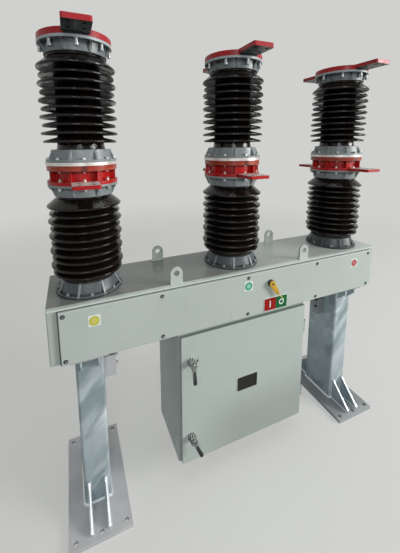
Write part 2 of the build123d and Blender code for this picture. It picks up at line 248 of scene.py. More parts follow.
def addNode(tree, kind, inputs=None, **fields):
    # a new node with its fields and inputs
    made = tree.nodes.new(kind if kind.startswith("NodeGroup") else "ShaderNode" + kind)
    for field, value in fields.items():
        setattr(made, field, value)
    feed(tree, made, inputs or {})
    return made


def put(*node, **fields):
    # a new node's outputs
    return addNode(*node, **fields).outputs


def emptyTree(owner):
    owner.use_nodes = True
    owner.node_tree.nodes.clear()
    return owner.node_tree


def calculate(tree, operation, *values):
    # one step of arithmetic
    return put(tree, "Math", dict(enumerate(values)), operation=operation)[0]


def rising(tree, value, low, high, smooth=True):
    # a mask that goes from 0 to 1 as a value goes from low to high
    return put(tree, "MapRange", {"Value": value, "From Min": low, "From Max": high},
               interpolation_type="SMOOTHSTEP" if smooth else "LINEAR")[0]


def noise(tree, where, scale, detail, **more):
    return put(tree, "TexNoise", {"Vector": where, "Scale": scale, "Detail": detail, **more})


def startGroup(name, **inputs):
    # a node group with named inputs, each a number or a vector
    group = bpy.data.node_groups.new(name, "ShaderNodeTree")
    for label, value in inputs.items():
        kind = "NodeSocketVector" if isinstance(value, tuple) else "NodeSocketFloat"
        group.interface.new_socket(label, in_out="INPUT", socket_type=kind).default_value = value
    return group, put(group, "NodeGroupInput")


def endGroup(group, **outputs):
    # gives a node group its named outputs
    for label, value in outputs.items():
        kind = "NodeSocketVector" if value.type == "VECTOR" else "NodeSocketFloat"
        group.interface.new_socket(label, in_out="OUTPUT", socket_type=kind)
    put(group, "NodeGroupOutput", outputs)
    return group


def makePatches():
    # clouds: noise on stretched coordinates, turned into a mask between two levels
    group, given = startGroup("cloudPatches", Vector=(0.0, 0.0, 0.0), Scale=5.0, Stretch=(1.0, 1.0, 1.0),
                              Detail=4.0, Warp=0.3, Low=0.4, High=0.6)
    spread = put(group, "VectorMath", {0: given["Vector"], 1: given["Stretch"]}, operation="MULTIPLY")
    clouds = noise(group, spread[0], given["Scale"], given["Detail"], Distortion=given["Warp"])["Fac"]
    return endGroup(group, Mask=rising(group, clouds, given["Low"], given["High"]))


def makeDust():
    # dust that lies on what faces up, broken by clouds; the object's own normal says what faces up
    group, given = startGroup("settledDust", Amount=0.3, Scale=12.0)
    where = put(group, "TexCoord")
    upward = put(group, "SeparateXYZ", {0: where["Normal"]})["Z"]
    clouds = noise(group, where["Object"], given["Scale"], 6.0, Roughness=0.65)["Fac"]
    broken = rising(group, clouds, 0.3, 0.65, False)
    lying = calculate(group, "MULTIPLY", rising(group, upward, 0.5, 0.98), broken)
    return endGroup(group, Mask=calculate(group, "MULTIPLY", lying, given["Amount"]))


def makeRubAndGlint():
    # worn edges and painted edge highlights: where a rounded normal leaves the true one, broken by noise;
    # also gives the rounded normal
    group, given = startGroup("rubAndGlintEdge", Radius=0.002, Low=0.02, High=0.12, Scale=60.0)
    rounded = put(group, "Bevel", {"Radius": given["Radius"]}, samples=4)[0]
    plain = put(group, "NewGeometry")["Normal"]
    along = put(group, "VectorMath", {0: rounded, 1: plain}, operation="DOT_PRODUCT")["Value"]
    where = put(group, "TexCoord")["Object"]
    grain = noise(group, where, given["Scale"], 5.0)["Fac"]
    bent = calculate(group, "MULTIPLY", calculate(group, "SUBTRACT", 1.0, along), grain)
    return endGroup(group, Mask=rising(group, bent, given["Low"], given["High"], False), Normal=rounded)


def makeSkin():
    # the fine unevenness of a surface: broad waves and a fine grain, mixed into a height
    group, given = startGroup("surfaceSkin", Waves=20.0, Grain=300.0, Share=0.5)
    where = put(group, "TexCoord")["Object"]
    waves = noise(group, where, given["Waves"], 3.0)["Fac"]
    grain = noise(group, where, given["Grain"], 2.0)["Fac"]
    mixed = put(group, "Mix", {"Factor": given["Share"], "A": waves, "B": grain}, data_type="FLOAT")
    return endGroup(group, Height=mixed[0])


def makePolePlace():
    # places round a pole, with x folded to x' from the nearest pole's axis: Radius sqrt(x'^2 + y^2),
    # Aside, the distance |r sin a| from the nearest of its eight ribs, and the distances |x'| and |y|
    group, given = startGroup("polePlace", Vector=(0.0, 0.0, 0.0))

    def work(operation, *values):
        return calculate(group, operation, *values)

    x, y = put(group, "SeparateXYZ", {0: given["Vector"]})[:2]
    folded = work("WRAP", x, 0.35, -0.35)
    radius = work("SQRT", work("ADD", work("POWER", folded, 2.0), work("POWER", y, 2.0)))
    angle = work("SUBTRACT", work("WRAP", work("ARCTAN2", y, folded), math.pi / 4, 0.0), math.pi / 8)
    aside = work("ABSOLUTE", work("MULTIPLY", radius, work("SINE", angle)))
    awayX, awayY = work("ABSOLUTE", folded), work("ABSOLUTE", y)
    return endGroup(group, Radius=radius, Aside=aside, AwayX=awayX, AwayY=awayY)


cloudPatches = makePatches()
polePlace = makePolePlace()
settledDust = makeDust()
rubAndGlintEdge = makeRubAndGlint()
surfaceSkin = makeSkin()


class Finish:
    # one material under construction: its tree, its shader and the colour, roughness and normal so far

    def __init__(self, name, colour, roughness, levels=None):
        self.tree = emptyTree(bpy.data.materials.new(name))
        self.shader = addNode(self.tree, "BsdfPrincipled", levels)
        put(self.tree, "OutputMaterial", {0: self.shader.outputs[0]})
        self.where = put(self.tree, "TexCoord")["Object"]
        self.colour = tone(*colour)
        self.roughness = roughness
        self.bent = {}

    def use(self, group, **inputs):
        # a shared effect with this material's own values
        return put(self.tree, "Group", inputs, node_tree=group)

    def clouds(self, scale, low, high, stretch=(1, 1, 1), detail=4.0, warp=0.3, turn=None):
        where = self.where
        if turn:
            where = put(self.tree, "Mapping", {"Vector": where, "Rotation": turn})[0]
        return self.use(cloudPatches, Vector=where, Scale=scale, Low=low, High=high, Stretch=stretch,
                        Detail=detail, Warp=warp)[0]

    def between(self, axis, low, high, facing=False):
        # a mask that rises from 0 to 1 as a coordinate, or the object's own normal, passes from low to high
        source = self.where.node.outputs["Normal"] if facing else self.where
        return rising(self.tree, put(self.tree, "SeparateXYZ", {0: source})[axis], low, high)

    def past(self, value, low, high):
        # the same on any value, with a straight rise
        return rising(self.tree, value, low, high, False)

    def both(self, first, second):
        return calculate(self.tree, "MULTIPLY", first, second)

    def tint(self, mask, colour, share=1.0):
        if share != 1.0:
            mask = self.both(mask, share)
        self.colour = put(self.tree, "Mix", {0: mask, 6: self.colour, 7: tone(*colour)},
                          data_type="RGBA")[2]

    def patch(self, colour, share, *cloud, within=None, **more):
        # clouds of another colour, all over or within a mask
        mask = self.clouds(*cloud, **more)
        self.tint(mask if within is None else self.both(within, mask), colour, share)

    def dull(self, mask, roughness):
        self.roughness = put(self.tree, "Mix", {0: mask, 2: self.roughness, 3: roughness},
                             data_type="FLOAT")[0]

    def skin(self, waves, grain, share, depth):
        height = self.use(surfaceSkin, Waves=waves, Grain=grain, Share=share)[0]
        inputs = {"Height": height, "Distance": depth, **self.bent}
        self.bent = {"Normal": put(self.tree, "Bump", inputs)[0]}

    # pale edges, partly rubbed wear and partly painted edge highlight, with the rounded normal
    def edges(self, radius, colour, share, low=0.02, high=0.12):
        rub = self.use(rubAndGlintEdge, Radius=radius, Low=low, High=high)
        self.bent = {"Normal": rub["Normal"]}
        self.tint(rub["Mask"], colour, share)

    def dust(self, amount, colour=(150, 146, 136), scale=12.0):
        mask = self.use(settledDust, Amount=amount, Scale=scale)[0]
        self.tint(mask, colour)
        self.dull(mask, 0.85)

    def done(self):
        feed(self.tree, self.shader, {"Base Color": self.colour, "Roughness": self.roughness, **self.bent})


# finishes; colours are 0 to 255, and a cloud is scale, low and high level, stretch and detail

def powderCoat(name, colour, roughness):
    # light powder coat with a faint orange peel, in broad clouds, pale at the edges as rubbed paint and
    # painted edge highlight
    paint = Finish(name, colour, roughness)
    paint.edges(0.0015, (216, 224, 218), 0.45)
    paint.patch((180, 191, 184), 0.30, 2.2, 0.35, 0.7, detail=3.0)
    paint.dull(paint.clouds(5.0, 0.4, 0.7), roughness + 0.12)
    paint.skin(30.0, 420.0, 0.45, 0.00022)
    return paint


def makeBoxPaint():
    # with a little grime and dust
    paint = powderCoat("boxPaint", (198, 208, 201), 0.36)
    paint.patch((146, 150, 142), 0.10, 9.0, 0.56, 0.75, detail=8.0)
    paint.patch((160, 166, 158), 0.30, 26.0, 0.66, 0.74, (1.0, 1.0, 0.2), 6.0)
    paint.dust(0.25, (150, 151, 143))
    return paint


def makeCabinetPaint():
    # the same coat on the cabinet: greyer low on the door's right as painted shade, and painted shade on the
    # door's top edge under the cover
    paint = powderCoat("cabinetPaint", (194, 205, 199), 0.40)
    paint.patch((160, 166, 158), 0.25, 26.0, 0.66, 0.74, (1.0, 1.0, 0.2), 6.0)
    # painted shade: greyer low on the door's right
    low = paint.both(paint.between(2, 0.46, 0.22), paint.between(0, -0.34, -0.02))
    paint.tint(low, (162, 171, 166), 0.75)
    # painted shade on the door's top edge, under the cover
    edge = paint.both(paint.between(2, 0.8, 0.95, True), paint.between(2, 0.759, 0.761))
    paint.tint(edge, (96, 108, 100), 0.8)
    return paint


def makeBeamPaint():
    # a glossier coat on the beam, pale edges as rubbed paint and painted edge highlight, a painted highlight
    # on the folded lip along the front, a greyer top with grey grime, and painted reflection on the top, dark
    # on the left and light at the right end
    paint = Finish("beamPaint", (198, 208, 201), 0.22)
    paint.edges(0.0020, (220, 228, 222), 0.5)
    paint.patch((180, 191, 184), 0.30, 2.2, 0.35, 0.7, detail=3.0)
    top = paint.between(2, 0.85, 0.98, True)
    paint.tint(top, (176, 181, 175), 0.75)
    # painted reflection: the top dark on the left and light at the right end
    paint.tint(paint.both(top, paint.between(0, 0.40, -0.42)), (108, 112, 106), 0.80)
    paint.tint(paint.both(top, paint.between(0, 0.50, 0.85)), (222, 228, 224), 0.7)
    paint.patch((132, 130, 120), 0.4, 7.0, 0.52, 0.74, (0.5, 1.0, 1.0), 8.0, within=top)
    # painted highlight on the folded lip along the front
    lip = paint.both(paint.between(1, coverLow.y + 30 * mm, coverLow.y + 25 * mm),
                     paint.between(2, beamTop - 8.5 * mm, beamTop - 7.0 * mm))
    paint.tint(lip, (214, 223, 217), 0.92)
    paint.dull(paint.clouds(6.0, 0.45, 0.75, detail=6.0), 0.34)
    paint.skin(24.0, 420.0, 0.35, 0.00022)
    return paint


def castGrey(name, colour, dark, light):
    # satin grey on a sand casting: dark clouds, pale on the edges as rubbed paint and painted edge highlight
    paint = Finish(name, colour, 0.34)
    paint.edges(0.0032, light, 0.8, 0.01, 0.07)
    paint.patch(dark, 0.4, 14.0, 0.42, 0.72, detail=7.0)
    paint.patch((84, 82, 74), 0.3, 40.0, 0.58, 0.70, detail=6.0)
    paint.dull(paint.clouds(25.0, 0.4, 0.7), 0.50)
    paint.skin(70.0, 520.0, 0.35, 0.0006)
    return paint


def paintedShadeBand(paint, broken, low, high, soft=1.5 * mm):
    # painted shade: a broken dark band where skirt and ring meet, between two heights
    above = paint.between(2, low - soft, low + soft)
    below = paint.between(2, high + 1.5 * mm, high - 1.5 * mm)
    paint.tint(paint.both(paint.both(above, below), broken), (26, 36, 36), 0.92)


def makeFlangePaint():
    # painted shade on the uppermost flanges and under the rings, and a painted highlight on the top flange's
    # ring
    paint = castGrey("flangePaint", (143, 152, 153), (114, 122, 123), (200, 207, 208))
    # painted shade on the uppermost flanges
    paint.tint(paint.between(2, 1.90, 1.93), (110, 119, 122), 0.75)
    broken = paint.clouds(30.0, 0.15, 0.42, detail=5.0)
    lowerTop, upperTop = lowerTopFlange[1].z, upperTopFlange[1].z
    paintedShadeBand(paint, broken, lowerTop - 17 * mm, lowerTop - ringThickness)
    paintedShadeBand(paint, broken, upperTop - 24 * mm, upperTop - ringThickness, 7 * mm)
    # painted highlight on the top flange's ring
    ring = upperTop - ringThickness
    paint.tint(paint.between(2, ring - 0.5 * mm, ring + 0.5 * mm), (186, 196, 200), 0.75)
    paint.dust(0.25, (128, 128, 120))
    return paint


def makeBaseFlangePaint():
    # painted shade at the skirt's foot and on the ring's top inside the rim, a painted highlight on the rim
    # and the rib backs, and painted shade on the right pole
    paint = castGrey("baseFlangePaint", (86, 95, 98), (62, 71, 74), (182, 190, 192))
    broken = paint.clouds(30.0, 0.15, 0.42, detail=5.0)
    foot = baseFlange[0].z
    paintedShadeBand(paint, broken, foot + ringThickness - 0.6 * mm, foot + 17 * mm)
    place = paint.use(polePlace, Vector=paint.where)
    top = paint.between(2, 0.8, 0.95, True)
    rim = 130 * mm
    # painted shade on the ring's top inside the rim
    paint.tint(paint.both(top, paint.past(place["Radius"], rim, rim - 2.5 * mm)), (44, 52, 55), 0.8)
    # painted highlight on the rim
    paint.tint(paint.both(top, paint.past(place["Radius"], rim, rim + 1.5 * mm)), (138, 146, 148), 0.8)
    # painted highlight on the rib backs
    paint.tint(paint.past(place["Aside"], 4.4 * mm, 3.8 * mm), (168, 177, 180), 0.7)
    # painted shade on the right pole
    paint.tint(paint.between(0, 0.30, 0.60), (60, 67, 70), 0.8)
    paint.dust(0.25, (128, 128, 120))
    return paint


def castRed(name, colour):
    # gloss red over a cast skin, pale at the edges as rubbed paint and painted edge highlight
    gloss = {"Specular IOR Level": 0.3, "Coat Weight": 0.08, "Coat Roughness": 0.14}
    paint = Finish(name, colour, 0.32, gloss)
    paint.edges(0.0024, (222, 122, 122), 0.55, 0.015, 0.10)
    paint.patch((140, 10, 14), 0.5, 11.0, 0.42, 0.70, detail=6.0)
    paint.dull(paint.clouds(22.0, 0.4, 0.7), 0.44)
    paint.skin(60.0, 480.0, 0.35, 0.0007)
    return paint


padPlace = {"start": 119 * mm, "bareFrom": 134 * mm, "side": 41 * mm, "end": 237 * mm, "soft": 0.5 * mm}


def padMasks(paint, start):
    # two masks on the terminal pads, |y| past start: their tops, and where shade is painted: their
    # undersides, their holes and what lies under them
    place, soft = paint.use(polePlace, Vector=paint.where), padPlace["soft"]
    past = paint.past(place["AwayY"], start - 1 * mm, start)
    up = paint.between(2, 0.8, 0.95, True)
    down = paint.between(2, -0.6, -0.9, True)
    within = paint.both(paint.past(place["AwayX"], padPlace["side"] + soft, padPlace["side"] - soft),
                        paint.past(place["AwayY"], padPlace["end"] + soft, padPlace["end"] - soft))
    # painted shade: what faces sideways or down within a pad's outline
    hidden = paint.both(within, calculate(paint.tree, "SUBTRACT", 1.0, up))
    return paint.both(past, up), paint.both(past, calculate(paint.tree, "MAXIMUM", down, hidden))


def makeHousingRed():
    # a brown band with dust and painted sheen in clouds, a painted shadow below it, bright bare metal on the
    # pads' tops, and painted shade under the pads
    paint = castRed("housingRed", (192, 20, 18))
    foot = housingLevels["bandFoot"]
    band = paint.between(2, foot - 1 * mm, foot + 1 * mm)
    paint.tint(band, (158, 60, 38), 0.75)
    # dust and painted sheen in clouds on the band
    paint.patch((182, 110, 86), 0.5, 20.0, 0.42, 0.70, (1.0, 1.0, 2.0), 6.0, within=band)
    # painted shadow below the band
    shade = paint.both(paint.between(2, foot - 11 * mm, foot - 4 * mm), paint.between(2, foot, foot - 1 * mm))
    paint.patch((72, 10, 14), 0.85, 16.0, 0.30, 0.50, within=shade)
    paint.patch((84, 34, 30), 0.3, 50.0, 0.60, 0.74, detail=6.0)
    paint.dust(0.35, (170, 120, 108))
    top, inside = padMasks(paint, padPlace["bareFrom"])
    bare = paint.both(top, paint.clouds(34.0, 0.26, 0.42, detail=7.0))
    paint.tint(bare, (212, 206, 200))
    paint.patch((120, 112, 106), 0.8, 90.0, 0.50, 0.62, detail=5.0, within=bare)
    paint.dull(bare, 0.42)
    # painted shade under the pads and in their holes
    paint.tint(inside, (70, 34, 32), 0.8)
    return paint


def makeCapRed():
    # the pads are bare metal above; below, their undersides, holes and the ring under them are painted dark
    # grey as shade
    paint = castRed("capRed", (180, 28, 36))
    paint.patch((166, 84, 84), 0.35, 42.0, 0.56, 0.72, detail=6.0)
    paint.dust(0.45, (128, 92, 78))
    top, inside = padMasks(paint, padPlace["start"])
    # painted shade under the pads and in their holes
    paint.tint(inside, (46, 50, 47))
    paint.patch((84, 84, 78), 0.5, 30.0, 0.5, 0.7, detail=6.0, within=inside)
    far = paint.both(top, padMasks(paint, padPlace["bareFrom"])[0])
    paint.tint(far, (200, 200, 197))
    paint.patch((150, 148, 142), 0.7, 60.0, 0.48, 0.66, detail=6.0, within=far)
    paint.dull(far, 0.40)
    return paint


def makeGlaze():
    # nearly black brown glaze, thinner and redder in clouds, glossy and slightly wavy
    glaze = Finish("brownGlaze", (18, 13, 10), 0.05, {"Specular IOR Level": 0.30})
    glaze.patch((46, 25, 20), 0.35, 9.0, 0.45, 0.75, (1.0, 1.0, 2.2), 5.0)
    glaze.patch((14, 12, 9), 0.6, 60.0, 0.62, 0.70, detail=3.0)
    glaze.dull(glaze.clouds(18.0, 0.45, 0.75, detail=6.0), 0.20)
    under = glaze.between(2, -0.30, -0.60, True)
    glaze.dull(glaze.both(under, glaze.clouds(11.0, 0.62, 0.50, detail=2.0)), 0.45)
    glaze.skin(46.0, 220.0, 0.15, 0.0026)
    glaze.dust(0.05, (92, 86, 78), 30.0)
    return glaze


def hotDip(name, bright, dark, light, streaks):
    # hot-dip zinc: flower-like cells, leaning clouds of dark and white, a dull bloom, and pale edges as
    # rubbed zinc and painted edge highlight
    zinc = Finish(name, bright, 0.42, {"Metallic": 0.15})
    zinc.edges(0.0026, (236, 242, 242), 0.8, 0.015, 0.09)
    warp = noise(zinc.tree, zinc.where, 9.0, 3.0)["Color"]
    moved = put(zinc.tree, "Mix", {0: 0.12, 4: zinc.where, 5: warp}, data_type="VECTOR")[1]
    cells = put(zinc.tree, "TexVoronoi", {"Vector": moved, "Scale": 34.0})["Color"]
    zinc.tint(put(zinc.tree, "SeparateColor", {0: cells})[0], dark, 0.14)
    leaning = (0.0, math.radians(-44), 0.0)
    zinc.patch(dark, streaks, 8.0, 0.44, 0.60, (1.0, 1.0, 0.30), 5.0, 0.6, leaning)
    zinc.patch(light, streaks, 11.0, 0.50, 0.64, (1.0, 1.0, 0.22), 5.0, 0.4, leaning)
    zinc.patch(dark, 0.3, 24.0, 0.60, 0.74, (1.0, 1.0, 0.5), 8.0)
    zinc.dull(zinc.clouds(8.0, 0.40, 0.70, (1.0, 1.0, 0.3)), 0.58)
    zinc.skin(16.0, 240.0, 0.2, 0.0010)
    return zinc


def makePostZinc():
    # darker low down; painted shade high on the left post, under the beam, and on the faces that look
    # sideways
    dark = (142, 157, 161)
    zinc = hotDip("postZinc", (206, 219, 223), dark, (234, 245, 247), 0.88)
    zinc.tint(zinc.both(zinc.between(2, 0.50, 0.25), zinc.between(2, 0.0, 0.02)), dark, 0.45)
    # painted shade high on the left post, under the beam
    zinc.tint(zinc.both(zinc.between(2, 0.52, 0.68), zinc.between(0, 0.0, -0.3)), dark, 0.65)
    # painted shade on the faces that look sideways
    zinc.tint(zinc.between(0, 0.80, 0.95, True), (134, 148, 158), 0.45)
    zinc.tint(zinc.between(0, -0.80, -0.95, True), (128, 142, 154), 0.45)
    zinc.dust(0.12)
    return zinc


def makePlateZinc():
    # painted shade on the right foot, and a painted highlight along its front edge
    zinc = hotDip("plateZinc", (214, 213, 215), (188, 190, 193), (226, 224, 224), 0.35)
    right = zinc.between(0, 0.3, 0.5)
    # painted shade on the right foot
    zinc.tint(right, (108, 118, 120), 0.72)
    # painted highlight along the right foot's front edge
    zinc.tint(zinc.both(right, zinc.between(1, -0.19, -0.235)), (196, 204, 204), 0.5)
    zinc.dust(0.12)
    return zinc


# plated small parts: colour, roughness, the stains' colour and share, metallic
platedFinishes = {
    "boltZinc": ((206, 209, 207), 0.28, (140, 140, 134), 0.6, 0.6),
    "midZinc": ((194, 198, 198), 0.40, (132, 134, 130), 0.6, 0.4),
    "dullZinc": ((146, 151, 150), 0.48, (92, 95, 92), 0.6, 0.4),
    "warmZinc": ((226, 200, 192), 0.32, (170, 130, 122), 0.5, 0.4),
    "bareAluminium": ((232, 226, 222), 0.30, (196, 182, 174), 0.5, 0.5),
    "leverSteel": ((142, 147, 145), 0.20, (56, 58, 56), 0.6, 0.9),
    "chrome": ((226, 230, 228), 0.12, (150, 154, 152), 0.3, 0.95),
}


def makePlated(name, colour, roughness, stain, stainShare, metallic):
    # stains, a fine grain, and pale edges as rubbed plating and painted edge highlight
    plate = Finish(name, colour, roughness, {"Metallic": metallic})
    plate.edges(0.0006, (238, 239, 236), 0.5)
    plate.patch(stain, stainShare, 60.0, 0.45, 0.7, detail=6.0)
    plate.dull(plate.clouds(90.0, 0.4, 0.7), roughness + 0.18)
    plate.skin(120.0, 900.0, 0.4, 0.0002)
    return plate


# small trim: colour, the clouds' colour, roughness, dust, specular level, metallic, clouds' scale, depth
plainFinishes = {
    "weldZinc": ((240, 245, 247), (222, 229, 232), 0.30, 0.0, 0.5, 0.65, 60.0, 0.0008),
    "dullWeld": ((196, 208, 212), (164, 178, 182), 0.36, 0.0, 0.5, 0.1, 60.0, 0.0008),
    "blackRubber": ((24, 25, 25), (40, 40, 38), 0.62, 0.2),
    "blackGrip": ((20, 25, 23), (34, 38, 36), 0.34, 0.1),
    "darkSteel": ((58, 60, 58), (34, 35, 34), 0.42, 0.2, 0.5, 0.5),
    "cement": ((78, 84, 76), (52, 54, 48), 0.8, 0.2, 0.5, 0.0, 70.0, 0.0010),
    "pointerYellow": ((222, 178, 58), (190, 144, 38), 0.38, 0.2),
    "plateRed": ((160, 20, 14), (136, 16, 12), 0.40, 0.0, 0.2),
    "plateGreen": ((4, 104, 56), (4, 86, 46), 0.40, 0.0, 0.2),
    "plateWhite": ((244, 250, 244), (232, 240, 234), 0.4, 0.0),
    "labelYellow": ((206, 208, 84), (190, 192, 70), 0.4, 0.0),
    "labelGreen": ((58, 158, 122), (76, 172, 136), 0.4, 0.0),
    "labelRed": ((180, 60, 68), (192, 80, 86), 0.4, 0.0),
    "paleYellow": ((226, 214, 120), (216, 204, 104), 0.4, 0.0),
    "paleGreen": ((150, 222, 196), (132, 208, 180), 0.4, 0.0),
    "paleRed": ((208, 124, 126), (196, 104, 108), 0.4, 0.0),
    "sealGrey": ((176, 186, 180), (158, 168, 162), 0.6, 0.2),
    "shadeGrey": ((92, 102, 96), (74, 84, 78), 0.6, 0.2),
    "frameGrey": ((196, 204, 199), (176, 184, 179), 0.5, 0.2),
    # the window painted near black, as shade inside the cabinet seen through it
    "darkGlass": ((22, 24, 20), (34, 27, 25), 0.10, 0.1, 0.3, 0.0, 12.0, 0.0001),
}


def makePlain(name, colour, second, roughness, dust, specular=0.5, metallic=0.0, scale=40.0, depth=0.0002):
    # two tones in clouds, a fine skin and a little dust
    trim = Finish(name, colour, roughness, {"Metallic": metallic, "Specular IOR Level": specular})
    trim.patch(second, 0.6, scale, 0.4, 0.7, detail=6.0)
    trim.dull(trim.clouds(scale * 1.7, 0.4, 0.7), roughness + 0.15)
    trim.skin(scale, scale * 12, 0.4, depth)
    trim.dust(dust)
    return trim


for makeFinish in (makeBoxPaint, makeBeamPaint, makeCabinetPaint, makeFlangePaint, makeBaseFlangePaint,
                   makeHousingRed, makeCapRed, makeGlaze, makePostZinc, makePlateZinc):
    makeFinish().done()
for name, values in platedFinishes.items():
    makePlated(name, *values).done()
for name, values in plainFinishes.items():
    makePlain(name, *values).done()
print("finishes made")


# the CAD nodes that stay take their finish from the first part name that fits

nodeFinishes = {
    "base_flange": "baseFlangePaint", "flange": "flangePaint", "insulator": "brownGlaze",
    "middle_housing": "housingRed", "top_cap": "capRed", "seal_rings": "bareAluminium",
    "beam_box": "beamPaint", "front_cover": "boxPaint", "lifting_lugs": "boxPaint",
    "indicator_boss": "darkSteel", "indicator_plate": "plateWhite", "pointer": "pointerYellow",
    "cabinet": "cabinetPaint", "hinges": "cabinetPaint", "door_window": "darkGlass",
    "handle_barrels": "chrome", "_handle": "leverSteel",
    "posts": "postZinc", "gussets": "postZinc", "_plates": "plateZinc", "side_brackets": "plateZinc",
}
for nodeName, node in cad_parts.items():
    finish = next(finish for part, finish in nodeFinishes.items() if part in nodeName)
    node.data.materials.clear()
    node.data.materials.append(bpy.data.materials[finish])
print("CAD nodes finished")


# insulators, in millimetres

insulatorShape = {
    "sides": 96, "bore": 40.0, "foot": 92.0, "seat": 4.0, "core": 86.0, "headRoot": 106.0, "headDrop": 6.0,
    "head": 110.0, "sheds": 10, "first": 32.0, "pitch": 30.6, "large": 145.0, "small": 139.0,
    "underRise": 15.0, "topRise": 16.0,
    # a shed from its underside round the drip lip to its top: out from the tip, up, softening
    "lip": ((-23.0, 5.5, 8.0), (-9.0, -6.0, 3.0), (-1.0, -5.2, 1.6), (0.0, 0.4, 2.4), (-3.0, 4.0, 3.0)),
}


def insulatorProfile(low, high, shape):
    # a line up the outside: foot, a shed every pitch, large and small in turn, and the flared head
    foot, core, head, bore = (shape[k] for k in ("foot", "core", "head", "bore"))
    seat = shape["seat"]
    corners = [(bore, low - seat, 0.0), (foot, low - seat, 1.0), (foot, low + seat, 4.0)]
    for index in range(shape["sheds"]):
        tip = shape["large"] if index % 2 else shape["small"]
        z = low + shape["first"] + index * shape["pitch"]
        corners.append((core, z + shape["underRise"], 7.0))
        corners += [(tip + out, z + up, soft) for out, up, soft in shape["lip"]]
        corners.append((core, z + shape["topRise"], 8.0))
    corners[-1] = (shape["headRoot"], high - shape["headDrop"], 3.0)
    corners += [(head, high - 1.0, 2.0), (head - 3.0, high, 0.0), (bore, high, 0.0)]
    return softened(corners) * mm


for side, poleX in polePlaces:
    for level, below, above in (("lower", "base", "lower_top"), ("upper", "upper_foot", "upper_top")):
        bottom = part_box(f"{side}_{below}_flange")[1].z / mm
        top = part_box(f"{side}_{above}_flange")[0].z / mm
        body = turned(insulatorProfile(bottom, top, insulatorShape), insulatorShape["sides"])
        putPiece(f"{side}_{level}_porcelain", "glaze", (body, "brownGlaze", at(poleX, 0, 0)),
                 stands=(f"{side}_{level}_insulator",), crease=50.0)
print("insulators made")


# bolts, nuts and washers of the poles' joints, in millimetres

def hexBlock(flats, height, dome=0.0, sides=24):
    # a hexagon whose top corners are turned off, with a shallow dome on top
    apothem = flats / 2
    corner = apothem / math.cos(math.pi / 6)
    rows = [(corner - 0.4, 0.0), (corner, 0.4), (corner, height - 1.6), (corner - 1.4, height - 0.4),
            (apothem - 0.6, height), (apothem * 0.5, height + dome)]
    return inMetres(turned(rows, sides, apothem))


def disc(radius, thickness, sides=20, edge=0.3):
    # a flat round with softened edges
    rows = [(radius - edge, 0.0), (radius, edge), (radius, thickness - edge), (radius - edge, thickness)]
    return inMetres(turned(rows, sides))


def thread(radius, length, sides=12):
    # a bolt's end: fine ridges down a round, r + 0.35 cos(turns), with a turned point
    heights = np.linspace(0, length - 1.0, int(length / 0.7))
    radii = radius + 0.35 * np.cos(np.arange(len(heights)) * math.pi)
    return inMetres(turned([*zip(radii, heights), (radius - 0.8, length)], sides))


def roundThePole(radius, z, face, seed, count=8):
    # places on a circle round each of the three poles, one of them towards the front
    draw = np.random.default_rng(seed)
    places = []
    for side, x in polePlaces:
        for k in range(count):
            angle = -math.pi / 2 + k * 2 * math.pi / count
            spin = draw.uniform(0, math.pi / 3)
            places.append(at(x + radius * math.cos(angle), radius * math.sin(angle), z, spin, face))
    return places


smallHead = joined(disc(8.0, 1.6), raised(hexBlock(13, 6.5), 1.6))
smallNut = joined(disc(8.0, 1.6), raised(hexBlock(13, 7.0), 1.6), raised(thread(4.6, 5.0), 8.2))
ringNut = joined(disc(7.6, 1.4), raised(hexBlock(12, 6.0), 1.4), raised(thread(3.9, 5.0), 7.2))
boltEnd = joined(disc(6.0, 0.8), raised(thread(4.2, 6.5), 0.4))
longBolt = joined(disc(8.0, 1.4), raised(disc(5.6, 14.0, 14), 1.0), raised(hexBlock(13.0, 9.5, 0.8), 15.0))
boltCircle = {"flange": 125 * mm, "housing": 121.5 * mm}

# piece, shape, circle, level, facing and finish, in the order of their seeds
flangeFasteners = (
    ("base_flange_bolts", smallHead, "flange", baseFlange[0].z + ringThickness, "up", "dullZinc"),
    ("lower_top_flange_nuts", smallNut, "flange", lowerTopFlange[1].z - ringThickness, "down", "boltZinc"),
    ("upper_foot_flange_bolts", smallHead, "flange", upperFootFlange[0].z + ringThickness, "up", "boltZinc"),
    ("upper_top_flange_bolts", longBolt, "flange", upperTopFlange[1].z - ringThickness, "down", "midZinc"),
    ("housing_ring_nuts", ringNut, "housing", housingLevels["ringTop"], "up", "warmZinc"),
    ("housing_band_bolt_ends", boltEnd, "housing", housingLevels["bandFoot"], "down", "warmZinc"),
)
for number, (name, shape, circle, z, face, finish) in enumerate(flangeFasteners):
    places = roundThePole(boltCircle[circle], z, face, number + 1)
    putPiece(name, "plated_steel", (shape, finish, *places))
print("flange fasteners made")


# gaskets, cement, and black rings of painted shade under the insulators' heads, in millimetres: outer and
# inner radius, lowest and highest above each corner given

trimRings = {
    "base_gaskets": (136.0, 120.0, 0.0, 4.0, (baseFlange[0],), "blackRubber", "black_grip"),
    "cement_rings": (100.2, 91.5, -6.0, 0.8, (baseFlange[1], upperFootFlange[1]), "cement", "flange_paint"),
    # painted shade: a black ring in the dark gap under each top flange's skirt
    "head_seals": (113.0, 104.0, -1.2, 1.4, (lowerTopFlange[0], upperTopFlange[0]), "blackRubber",
                   "black_grip"),
}


def bandRound(outer, inner, low, high, sides=96):
    # a ring of square section with softened edges, turned about z
    rows = [(inner, low), (outer - 0.4, low), (outer, low + 0.4), (outer, high - 0.4), (outer - 0.4, high),
            (inner, high)]
    return inMetres(turned(rows, sides, looped=True))


poles = [at(x, 0, 0) for side, x in polePlaces]
for name, (outer, inner, low, high, levels, finish, slotName) in trimRings.items():
    rings = [bandRound(outer, inner, level.z / mm + low, level.z / mm + high) for level in levels]
    putPiece(name, slotName, (joined(*rings), finish, *poles))


# beam: cover screws, label plates, indicator plate, pointer screw and tail

